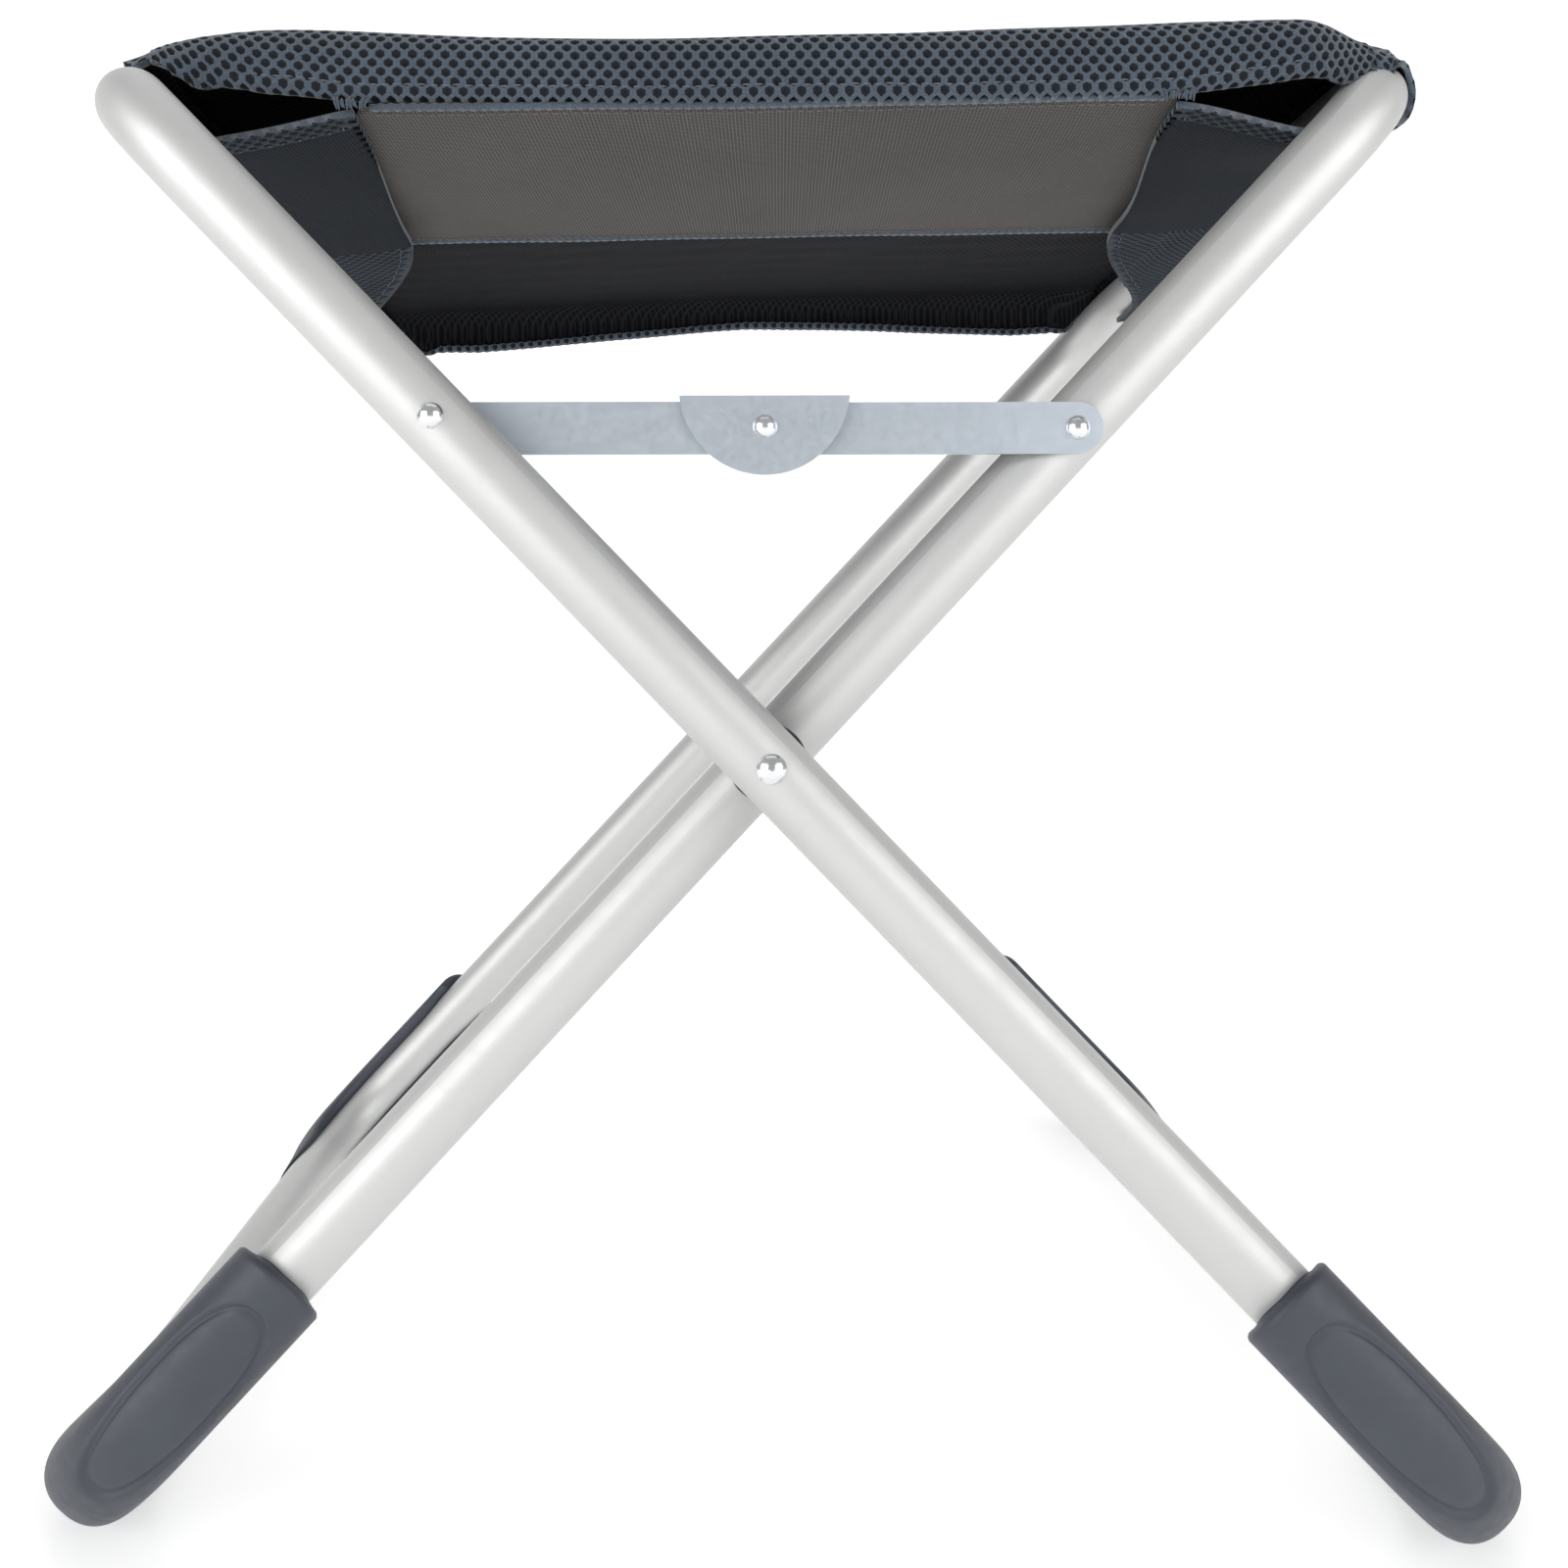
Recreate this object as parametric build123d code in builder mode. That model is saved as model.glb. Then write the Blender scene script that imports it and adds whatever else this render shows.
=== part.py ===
"""Folding camp stool: two bent tube rings crossed as an X, a sewn mesh seat and a folding brace.

X runs across the legs, Y from the braced side to the far side, Z up. The origin is on the floor,
below the middle of the crossing. Everything is in millimetres.
"""

import os
from math import cos, hypot, radians, sin

from build123d import *

# Frame
tube_radius = 11.0
tube_wall = 1.5
leg_angle = 46.5
outer_top_reach = 286.0
inner_top_reach = 307.5
floor_reach = 319.0
outer_width = 400.0
ring_gap = 6.0
bend_radius = 42.0
sole_height = 15.0
tube_seam = 0.5
plug_length = 60.0
plug_chamfer = 1.0

# Corner feet
foot_width = 32.0
foot_depth = 31.0
foot_corner = 8.0
foot_top = 213.0
foot_top_slant = 26.0
foot_tail = 84.0
foot_lip_round = 1.2
foot_lap = 3.0
panel_reach = 260.0
panel_length = 68.0
panel_width = 22.0
panel_depth = 1.0

# Pivot and brace hardware
rivet_radius = 3.0
pivot_head_radius = 4.4
brace_head_radius = 3.8
head_height = 2.4
tail_height = 1.4
tail_step = 0.6
running_fit = 0.05
washer_radius = 12.0
small_washer_radius = 6.5
brace_reach = 141.0
link_height = 16.0
link_thickness = 1.3
plate_thickness = 1.2
plate_half_width = 26.0
plate_drop = 14.5
plate_rise = 9.6
plate_clearance = 0.5
layer_gap = 0.3

# Seat cloth
cloth = 3.5
thin_cloth = 1.2
cloth_gap = 0.4
seat_front = -180.0
seat_back = 168.0
border_drop = 17.0
border_half_length = 172.0
sleeve_return = 70.0
sleeve_rise = 9.0
liner_drop = 4.3
liner_half_width = 131.5
liner_front = -172.0
liner_back = -15.0

# Derived positions
lean_x = cos(radians(leg_angle))
lean_z = sin(radians(leg_angle))
inner_width = outer_width - 2 * (2 * tube_radius + ring_gap)
pivot_z = sole_height + floor_reach * lean_z
outer_bar = (-outer_top_reach * lean_x, pivot_z + outer_top_reach * lean_z)
inner_bar = (inner_top_reach * lean_x, pivot_z + inner_top_reach * lean_z)
brace_z = pivot_z + brace_reach * lean_z
brace_x = brace_reach * lean_x
rivet_hole = rivet_radius + running_fit
front_face = -outer_width / 2 - tube_radius
outer_back_y = front_face + 2 * tube_radius
inner_front_y = outer_back_y + ring_gap
inner_back_y = inner_front_y + 2 * tube_radius
pivot_tail = inner_back_y + layer_gap
spacer_thickness = ring_gap - layer_gap
plate_y = outer_back_y + plate_clearance
left_link_y = plate_y + plate_thickness + layer_gap
left_link_back = left_link_y + link_thickness
right_link_y = left_link_back + layer_gap
left_spacer = left_link_y - outer_back_y - layer_gap
right_spacer = inner_front_y - right_link_y - link_thickness - layer_gap

outer_plane = Plane(origin=(0, 0, pivot_z), x_dir=(-lean_x, 0, lean_z), z_dir=(-lean_z, 0, -lean_x))
inner_plane = Plane(origin=(0, 0, pivot_z), x_dir=(lean_x, 0, lean_z), z_dir=(-lean_z, 0, lean_x))

# The seat lies in a plane through both top bars, which slopes up a little towards the inner one
seat_run = inner_bar[0] - outer_bar[0]
seat_rise = inner_bar[1] - outer_bar[1]
seat_width = hypot(seat_run, seat_rise)
seat_plane = Plane(
    origin=((inner_bar[0] + outer_bar[0]) / 2, 0, (inner_bar[1] + outer_bar[1]) / 2),
    x_dir=(seat_run, 0, seat_rise),
    z_dir=(-seat_rise, 0, seat_run),
)


def save(part, name):
    part.label = name
    export_step(part, f"parts/{name}.step")


def across(x, z, start_y):
    """A sketch plane at (x, start_y, z) whose normal points along +Y, away from the braced side."""
    return Plane(origin=(x, start_y, z), x_dir=(-1, 0, 0), z_dir=(0, 1, 0))


def ring_tube(plane, top_reach, width, holes):
    """One leg ring in its own plane, its ends meeting in the middle of the top bar."""
    half = width / 2
    with BuildPart() as ring:
        with BuildLine(plane) as path:
            FilletPolyline(
                (top_reach, tube_seam / 2),
                (top_reach, half),
                (-floor_reach, half),
                (-floor_reach, -half),
                (top_reach, -half),
                (top_reach, -tube_seam / 2),
                radius=bend_radius,
            )
        with BuildSketch(Plane(origin=path.line @ 0, z_dir=path.line % 0)):
            Circle(tube_radius)
            Circle(tube_radius - tube_wall, mode=Mode.SUBTRACT)
        sweep(path=path.line)
        for x, z, start_y, length, radius in holes:
            with BuildSketch(across(x, z, start_y)):
                Circle(radius)
            extrude(amount=length, mode=Mode.SUBTRACT)
    return ring.part


def joint_plug(plane, top_reach):
    """A solid insert that bridges the seam of the top bar."""
    with BuildPart() as plug:
        with BuildSketch(
            Plane(
                origin=plane.from_local_coords((top_reach, -plug_length / 2, 0)),
                x_dir=plane.x_dir,
                z_dir=(0, 1, 0),
            )
        ):
            Circle(tube_radius - tube_wall)
        extrude(amount=plug_length)
        chamfer(plug.edges().filter_by(GeomType.CIRCLE), length=plug_chamfer)
    return plug.part


def lies_on(edge, plane):
    return all(abs(plane.to_local_coords(edge @ at).Z) < 0.01 for at in (0, 0.3, 0.7))


def corner_foot(plane, width, side):
    """A moulded shoe that laps the outside of one bottom bend, with a flat sole.

    Its top end slants, so that the outer face reaches furthest up the leg.
    """
    half = side * width / 2
    tail = side * (width / 2 - foot_tail)
    outer_face = half + side * foot_depth / 2
    slant_angle = radians(foot_top_slant)
    with BuildPart() as foot:
        with BuildLine(plane) as path:
            FilletPolyline(
                (-foot_top, half), (-floor_reach, half), (-floor_reach, tail), radius=bend_radius
            )
        with BuildSketch(Plane(origin=path.line @ 0, x_dir=plane.z_dir, z_dir=path.line % 0)):
            RectangleRounded(foot_width, foot_depth, foot_corner)
        sweep(path=path.line)
        slant = Plane(
            origin=plane.from_local_coords((-foot_top, outer_face, 0)),
            x_dir=plane.z_dir,
            z_dir=plane.x_dir * cos(slant_angle) - plane.y_dir * (side * sin(slant_angle)),
        )
        with BuildSketch(slant):
            Rectangle(2 * foot_width, 4 * foot_depth)
        extrude(amount=foot_depth, mode=Mode.SUBTRACT)
        fillet(foot.edges().filter_by(lambda edge: lies_on(edge, slant)), radius=foot_lip_round)
        recess = Plane(
            origin=plane.from_local_coords((-panel_reach, outer_face, 0)),
            x_dir=plane.x_dir,
            z_dir=(0, -side, 0),
        )
        with BuildSketch(recess):
            Ellipse(panel_length / 2, panel_width / 2)
        extrude(amount=panel_depth, mode=Mode.SUBTRACT)
        with BuildSketch(plane):
            RectangleRounded(
                2 * (floor_reach - foot_lap), width - 2 * foot_lap, bend_radius - foot_lap
            )
        extrude(amount=foot_width, both=True, mode=Mode.SUBTRACT)
        with BuildSketch(Plane.XY):
            Rectangle(3 * floor_reach, 2 * outer_width)
        extrude(amount=-foot_width, mode=Mode.SUBTRACT)
        with BuildLine(plane) as bore:
            FilletPolyline(
                (-foot_top + foot_width, half),
                (-floor_reach, half),
                (-floor_reach, tail - side * foot_width),
                radius=bend_radius,
            )
        with BuildSketch(Plane(origin=bore.line @ 0, z_dir=bore.line % 0)):
            Circle(tube_radius)
        sweep(path=bore.line, mode=Mode.SUBTRACT)
    return foot.part


def rivet(x, z, head_y, tail_y, head_radius, has_tail=True):
    """A rivet along Y: a domed head at head_y, a shank, and a flat tail beyond tail_y."""
    way = 1 if tail_y > head_y else -1
    with BuildPart() as pin:
        with BuildSketch(across(x, z, head_y)):
            Circle(rivet_radius)
        extrude(amount=tail_y - head_y)
        if has_tail:
            with BuildSketch(across(x, z, tail_y)):
                Circle(head_radius - tail_step)
            extrude(amount=way * tail_height)
        with BuildSketch(Plane(origin=(x, head_y, z), x_dir=(1, 0, 0), z_dir=(0, 0, 1))):
            with BuildLine():
                TangentArc((0, -way * head_height), (head_radius, 0), tangent=(1, 0))
                Polyline((head_radius, 0), (0, 0), (0, -way * head_height))
            make_face()
        revolve(axis=Axis((x, head_y, z), (0, 1, 0)))
    return pin.part


def washer(x, z, start_y, thickness, radius):
    with BuildPart() as ring:
        with BuildSketch(across(x, z, start_y)):
            Circle(radius)
            Circle(rivet_radius, mode=Mode.SUBTRACT)
        extrude(amount=thickness)
    return ring.part


def brace_link(start_y, side, elbow_bore):
    """A flat bar from the leg on one side to the elbow in the middle, round at both ends."""
    with BuildPart() as link:
        with BuildSketch(across(side * brace_x / 2, brace_z, start_y)):
            SlotCenterToCenter(brace_x, link_height)
            with Locations((-side * brace_x / 2, 0)):
                Circle(rivet_hole, mode=Mode.SUBTRACT)
            with Locations((side * brace_x / 2, 0)):
                Circle(elbow_bore, mode=Mode.SUBTRACT)
        extrude(amount=link_thickness)
    return link.part


def lock_plate():
    """The half-moon plate over the elbow, its top edge turned back over the left link."""
    fold_depth = left_link_back - plate_y
    with BuildPart() as plate:
        with BuildSketch(across(0, brace_z, plate_y)):
            with BuildLine():
                ThreePointArc(
                    (-plate_half_width, plate_rise), (0, -plate_drop), (plate_half_width, plate_rise)
                )
                Line((-plate_half_width, plate_rise), (plate_half_width, plate_rise))
            make_face()
            Circle(rivet_radius, mode=Mode.SUBTRACT)
        extrude(amount=plate_thickness)
        with BuildSketch(across(0, brace_z + plate_rise - plate_thickness / 2, plate_y)):
            Rectangle(2 * plate_half_width - 2 * plate_thickness, plate_thickness)
        extrude(amount=fold_depth)
    return plate.part


def sleeve(bar, side, half_length):
    """Cloth round one top bar, over its outer side, and a return panel below it, rising inwards."""
    middle = tube_radius + cloth_gap + cloth / 2
    section = Plane(
        origin=(bar[0], half_length, bar[1]), x_dir=seat_plane.x_dir, z_dir=(0, -1, 0)
    )
    with BuildPart() as wrap:
        with BuildSketch(section):
            with BuildLine():
                CenterArc((0, 0), middle, 90, -side * 180)
                Line((0, -middle), (-side * sleeve_return, sleeve_rise - middle))
            trace(line_width=cloth)
        extrude(amount=2 * half_length)
    return wrap.part


def top_panel():
    """The padded mesh that is sat on, with a border folded down along the front and the back."""
    underside = tube_radius + cloth_gap
    with BuildPart() as panel:
        with BuildSketch(seat_plane.offset(underside)):
            with Locations((0, (seat_front + seat_back) / 2)):
                Rectangle(seat_width - 2 * layer_gap, seat_back - seat_front)
        extrude(amount=cloth)
        with BuildSketch(seat_plane.offset(underside - border_drop)):
            with Locations((0, seat_front + cloth / 2), (0, seat_back - cloth / 2)):
                Rectangle(2 * border_half_length, cloth)
        extrude(amount=border_drop)
    return panel.part


def underside_liner():
    """A thin mesh layer closing the front half of the seat from below."""
    with BuildPart() as liner:
        with BuildSketch(seat_plane.offset(-liner_drop)):
            with Locations((0, (liner_front + liner_back) / 2)):
                Rectangle(2 * liner_half_width, liner_back - liner_front)
        extrude(amount=thin_cloth)
    return liner.part


os.makedirs("parts", exist_ok=True)

outer_holes = [
    (0, pivot_z, -outer_width, 2 * outer_width, rivet_radius),
    (-brace_x, brace_z, -outer_width, outer_width, rivet_radius),
]
inner_holes = [
    (0, pivot_z, -outer_width, 2 * outer_width, rivet_hole),
    (brace_x, brace_z, -outer_width, outer_width, rivet_radius),
]
save(ring_tube(outer_plane, outer_top_reach, outer_width, outer_holes), "outer_frame_tube")
save(ring_tube(inner_plane, inner_top_reach, inner_width, inner_holes), "inner_frame_tube")
save(joint_plug(outer_plane, outer_top_reach), "outer_frame_joint_plug")
save(joint_plug(inner_plane, inner_top_reach), "inner_frame_joint_plug")

save(corner_foot(inner_plane, inner_width, -1), "front_left_foot")
save(corner_foot(outer_plane, outer_width, -1), "front_right_foot")
save(corner_foot(inner_plane, inner_width, 1), "rear_left_foot")
save(corner_foot(outer_plane, outer_width, 1), "rear_right_foot")

save(rivet(0, pivot_z, front_face, pivot_tail, pivot_head_radius), "front_pivot_rivet")
save(rivet(0, pivot_z, -front_face, -pivot_tail, pivot_head_radius), "rear_pivot_rivet")
save(washer(0, pivot_z, outer_back_y, spacer_thickness, washer_radius), "front_pivot_spacer")
save(washer(0, pivot_z, -outer_back_y, -spacer_thickness, washer_radius), "rear_pivot_spacer")

brace_rivets = {
    "brace_left_rivet": rivet(
        -brace_x, brace_z, front_face, left_link_back + running_fit, brace_head_radius
    ),
    "brace_right_rivet": rivet(
        brace_x, brace_z, right_link_y - running_fit, inner_back_y, brace_head_radius
    ),
    "brace_elbow_rivet": rivet(
        0, brace_z, plate_y, left_link_back, brace_head_radius, has_tail=False
    ),
}
for name, pin in brace_rivets.items():
    save(pin, name)
save(
    washer(-brace_x, brace_z, outer_back_y, left_spacer, small_washer_radius), "brace_left_spacer"
)
save(
    washer(brace_x, brace_z, inner_front_y, -right_spacer, small_washer_radius),
    "brace_right_spacer",
)
save(brace_link(left_link_y, -1, rivet_radius), "brace_left_link")
save(brace_link(right_link_y, 1, rivet_hole), "brace_right_link")
save(lock_plate(), "brace_lock_plate")

save(top_panel(), "seat_top_panel")
save(sleeve(outer_bar, -1, outer_width / 2 - bend_radius), "left_sleeve_panel")
save(sleeve(inner_bar, 1, inner_width / 2 - bend_radius), "right_sleeve_panel")
save(underside_liner(), "seat_underside_liner")
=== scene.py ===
"""Looks of the folding camp stool: satin tubes, slate feet and a sewn spacer-mesh seat.

Metres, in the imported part's own frame: X across the legs, Y away from the braced side, Z up.
"""

import math
import random

import bmesh
import bpy
import numpy as np
from mathutils import Matrix, Vector


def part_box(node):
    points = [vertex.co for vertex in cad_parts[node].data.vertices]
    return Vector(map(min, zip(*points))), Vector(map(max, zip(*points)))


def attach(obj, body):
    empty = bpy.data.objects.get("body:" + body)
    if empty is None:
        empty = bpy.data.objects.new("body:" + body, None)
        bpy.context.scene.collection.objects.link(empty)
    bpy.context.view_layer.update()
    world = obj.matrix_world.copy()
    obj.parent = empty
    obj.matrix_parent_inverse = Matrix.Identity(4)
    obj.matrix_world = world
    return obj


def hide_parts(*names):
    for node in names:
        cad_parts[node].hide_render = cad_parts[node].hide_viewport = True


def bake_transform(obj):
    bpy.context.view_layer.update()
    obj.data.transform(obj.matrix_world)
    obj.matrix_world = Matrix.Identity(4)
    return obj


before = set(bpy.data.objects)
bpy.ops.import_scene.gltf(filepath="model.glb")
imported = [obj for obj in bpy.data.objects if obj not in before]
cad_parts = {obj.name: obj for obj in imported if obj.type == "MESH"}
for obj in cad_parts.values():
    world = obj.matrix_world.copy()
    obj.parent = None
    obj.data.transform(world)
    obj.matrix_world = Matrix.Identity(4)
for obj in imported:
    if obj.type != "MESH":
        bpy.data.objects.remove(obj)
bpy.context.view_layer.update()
random.seed(7)

tube_radius = 0.011

# Places read from the frame
outer_low, outer_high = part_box("outer_frame_tube")
inner_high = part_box("inner_frame_tube")[1]
outer_bar = (outer_low.x + tube_radius, outer_high.z - tube_radius)
inner_bar = (inner_high.x - tube_radius, inner_high.z - tube_radius)
mid_x, mid_z = (outer_bar[0] + inner_bar[0]) / 2, (outer_bar[1] + inner_bar[1]) / 2
seat_width = math.hypot(inner_bar[0] - outer_bar[0], inner_bar[1] - outer_bar[1])
run, rise = (inner_bar[0] - outer_bar[0]) / seat_width, (inner_bar[1] - outer_bar[1]) / seat_width
half_span = seat_width / 2

# Rings
leg_angle = math.radians(46.5)
lean_x, lean_z = math.cos(leg_angle), math.sin(leg_angle)
bend_radius = 0.042
# The top bars are straight as far as this, and the right sleeve ends a little past that.
left_straight = 0.158
right_straight = 0.130
right_front_end = 0.163
pivot_z = sum(corner.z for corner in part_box("front_pivot_rivet")) / 2

# Seat cloth
cloth = 0.0024
cloth_gap = 0.0002
wrap_radius = tube_radius + cloth_gap + cloth / 2
bar_follow = 0.6
follow_start = 0.162
junction_x = 0.197  # where the sitting face ends and the sleeves begin
top_half_length = 0.193
sleeve_half_length = 0.166
edge_round = 0.0100
hem_radius = 0.0021
front_flat = 0.1700
rear_flat = 0.1570
seam_inset = 0.0016
# Return panels, by side: -1 is the left one. Their inner edge is narrower behind than in front.
return_full = {-1: 0.070, 1: 0.080}
return_rise = {-1: 0.0040, 1: -0.0016}
return_middle = 0.0615
return_hem = 0.0086
return_stitch_inset = 0.0050
# The border's depth, as (distance from the middle, drop).
left_front_drops = [
    (0, 0.0212),
    (0.072, 0.0206),
    (0.135, 0.0226),
    (0.162, 0.0199),
    (0.183, 0.0140),
    (0.190, 0.0100),
    (0.197, 0.0040),
]
right_front_drops = [
    (0, 0.0212),
    (0.063, 0.0228),
    (0.122, 0.0235),
    (0.154, 0.0205),
    (0.183, 0.0164),
    (0.197, 0.0120),
]
rear_drops = [(0, 0.0160), (0.075, 0.0185), (0.150, 0.0225), (0.180, 0.0215), (0.197, 0.0040)]
# A return's front edge, as (distance in from the bar, distance to the front).
left_return_front = [(0, 0.160), (0.026, 0.170), (0.065, 0.1775)]
right_return_front = [(0, 0.138), (0.012, 0.144), (0.028, 0.158), (0.036, 0.172), (0.080, 0.1775)]

# Liner
liner_front_y = -0.1765
liner_back_y = -0.0220
facing_back_y = -0.0440
liner_half = 0.1550
liner_thick = 0.0008
liner_taper = 0.88
liner_drop = 0.0090
liner_rise = 0.0045
liner_tilt = 0.0024 / 0.13
liner_belly = 0.0010

# Knitted holes
hole_pitch = 0.0050
row_pitch = 0.0026
hole_half = 0.00142
hole_shoulder = 0.00062
strand_top = 0.0012
hole_rim = 0.00090
hole_floor = -0.0008
cloth_back = -0.0012
hem_thread_height = 0.0006
return_thread_height = 0.0004


def smooth(t):
    t = np.clip(t, 0, 1)
    return t * t * (3 - 2 * t)


def interpolate(x, points):
    """The height at x of the line through points."""
    return np.interp(x, *zip(*points))


def ripple(x, y):
    """Slow unevenness of stretched cloth, between -1 and 1."""
    return (
        np.sin(31 * x + 12 * y + 0.6) * 0.4
        + np.sin(57 * y - 23 * x + 1.9) * 0.35
        + np.sin(83 * x + 71 * y) * 0.25
    )


# Materials ---------------------------------------------------------------------------------


def new_material(name, color, roughness, metallic=0.0, specular=0.5):
    material = bpy.data.materials.new(name)
    material.use_nodes = True
    shader = material.node_tree.nodes["Principled BSDF"]
    shader.inputs["Base Color"].default_value = (*color, 1)
    shader.inputs["Roughness"].default_value = roughness
    shader.inputs["Metallic"].default_value = metallic
    shader.inputs["Specular IOR Level"].default_value = specular
    return material, material.node_tree, shader


def maths(tree, operation):
    """A node that does one sum."""
    made = tree.nodes.new("ShaderNodeMath")
    made.operation = operation
    return made


def place(tree, scale=(1, 1, 1), rotation=(0, 0, 0)):
    """Object coordinates, scaled and turned."""
    coordinates = tree.nodes.new("ShaderNodeTexCoord")
    mapping = tree.nodes.new("ShaderNodeMapping")
    mapping.inputs["Scale"].default_value = scale
    mapping.inputs["Rotation"].default_value = rotation
    tree.links.new(coordinates.outputs["Object"], mapping.inputs["Vector"])
    return mapping.outputs["Vector"]


def noise(tree, scale, vector=None, detail=4.0):
    texture = tree.nodes.new("ShaderNodeTexNoise")
    texture.inputs["Scale"].default_value = scale
    texture.inputs["Detail"].default_value = detail
    texture.inputs["Roughness"].default_value = 0.55
    tree.links.new(vector or place(tree), texture.inputs["Vector"])
    return texture.outputs["Fac"]


def ramp(tree, source, stops):
    """A colour ramp over source; stops are (position, colour or grey)."""
    made = tree.nodes.new("ShaderNodeValToRGB")
    elements = made.color_ramp.elements
    while len(elements) < len(stops):
        elements.new(0.5)
    for element, (position, color) in zip(elements, stops):
        element.position = position
        shade = color if hasattr(color, "__len__") else (color, color, color)
        element.color = (*shade, 1)
    tree.links.new(source, made.inputs["Fac"])
    return made.outputs["Color"]


def bump(tree, shader, height, distance, strength):
    made = tree.nodes.new("ShaderNodeBump")
    made.inputs["Strength"].default_value = strength
    made.inputs["Distance"].default_value = distance
    tree.links.new(height, made.inputs["Height"])
    tree.links.new(made.outputs["Normal"], shader.inputs["Normal"])


def tube_material():
    material, tree, shader = new_material("satin_tube", (0.57, 0.575, 0.565), 0.5, 0.62)
    color = ramp(tree, noise(tree, 5.0), [(0.3, (0.555, 0.56, 0.552)), (0.7, (0.585, 0.59, 0.58))])
    tree.links.new(color, shader.inputs["Base Color"])
    finish = ramp(tree, noise(tree, 140.0), [(0.3, 0.50), (0.7, 0.56)])
    tree.links.new(finish, shader.inputs["Roughness"])
    bump(tree, shader, noise(tree, 900.0, detail=2.0), 0.00004, 0.35)
    return material


def foot_material():
    material, tree, shader = new_material("slate_foot", (0.05, 0.058, 0.074), 0.5)
    color = ramp(
        tree, noise(tree, 30.0), [(0.2, (0.036, 0.042, 0.055)), (0.8, (0.047, 0.054, 0.069))]
    )
    tree.links.new(color, shader.inputs["Base Color"])
    finish = ramp(tree, noise(tree, 260.0), [(0.2, 0.46), (0.8, 0.62)])
    tree.links.new(finish, shader.inputs["Roughness"])
    bump(tree, shader, noise(tree, 1400.0, detail=3.0), 0.00006, 0.5)
    return material


def brace_material():
    material, tree, shader = new_material("zinc_brace", (0.5, 0.54, 0.58), 0.4, 0.75)
    streak = noise(tree, 40.0, place(tree, (1, 1, 3)))
    color = ramp(tree, streak, [(0.25, (0.47, 0.515, 0.57)), (0.75, (0.51, 0.555, 0.61))])
    tree.links.new(color, shader.inputs["Base Color"])
    finish = ramp(tree, noise(tree, 420.0), [(0.2, 0.34), (0.8, 0.48)])
    tree.links.new(finish, shader.inputs["Roughness"])
    bump(tree, shader, noise(tree, 1100.0, detail=3.0), 0.00005, 0.4)
    return material


def rivet_material():
    material, tree, shader = new_material("bright_rivet", (0.78, 0.79, 0.8), 0.2, 1.0)
    finish = ramp(tree, noise(tree, 500.0), [(0.3, 0.14), (0.7, 0.27)])
    tree.links.new(finish, shader.inputs["Roughness"])
    bump(tree, shader, noise(tree, 700.0), 0.00006, 0.4)
    return material


def spacer_material():
    material, tree, shader = new_material("dark_spacer", (0.03, 0.032, 0.036), 0.5)
    bump(tree, shader, noise(tree, 900.0), 0.00005, 0.5)
    return material


def yarn_material(name, dark, light, scale=2600.0, sheen=0.25):
    """Knitted yarn: fine twisted strands with lighter crowns."""
    material, tree, shader = new_material(name, light, 0.82, specular=0.25)
    shader.inputs["Sheen Weight"].default_value = sheen
    shader.inputs["Sheen Roughness"].default_value = 0.5
    fibre = noise(tree, scale, place(tree, (1, 0.35, 1)), detail=3.0)
    slow = noise(tree, 22.0)
    mixed = maths(tree, "MULTIPLY_ADD")
    mixed.inputs[1].default_value = 0.45
    tree.links.new(slow, mixed.inputs[0])
    tree.links.new(fibre, mixed.inputs[2])
    color = ramp(tree, mixed.outputs[0], [(0.45, dark), (0.95, light)])
    tree.links.new(color, shader.inputs["Base Color"])
    bump(tree, shader, fibre, 0.00022, 0.8)
    return material


def weave_material(name, thread, gap, pitch, skew, sheen, specular):
    """A fine woven net: crossing threads over darker gaps, pitch metres apart."""
    thread_level, gap_level, depth = 0.35, 0.80, 0.00018
    material, tree, shader = new_material(name, thread, 0.8, specular=specular)
    shader.inputs["Sheen Weight"].default_value = sheen
    scale = 1 / pitch
    vector = place(tree, (scale, scale, scale), (0, 0, skew))
    parts = tree.nodes.new("ShaderNodeSeparateXYZ")
    tree.links.new(vector, parts.inputs[0])
    waves = []
    for axis in (0, 1):
        wave = maths(tree, "SINE")
        turn = maths(tree, "MULTIPLY")
        turn.inputs[1].default_value = math.pi
        tree.links.new(parts.outputs[axis], turn.inputs[0])
        tree.links.new(turn.outputs[0], wave.inputs[0])
        size = maths(tree, "ABSOLUTE")
        tree.links.new(wave.outputs[0], size.inputs[0])
        waves.append(size.outputs[0])
    over = maths(tree, "MINIMUM")
    tree.links.new(waves[0], over.inputs[0])
    tree.links.new(waves[1], over.inputs[1])
    slow = noise(tree, 14.0)
    lifted = maths(tree, "MULTIPLY_ADD")
    lifted.inputs[1].default_value = 0.35
    tree.links.new(slow, lifted.inputs[0])
    tree.links.new(over.outputs[0], lifted.inputs[2])
    color = ramp(tree, lifted.outputs[0], [(thread_level, thread), (gap_level, gap)])
    tree.links.new(color, shader.inputs["Base Color"])
    high = maths(tree, "SUBTRACT")
    high.inputs[0].default_value = 1.0
    tree.links.new(over.outputs[0], high.inputs[1])
    bump(tree, shader, high.outputs[0], depth, 0.9)
    return material


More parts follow.
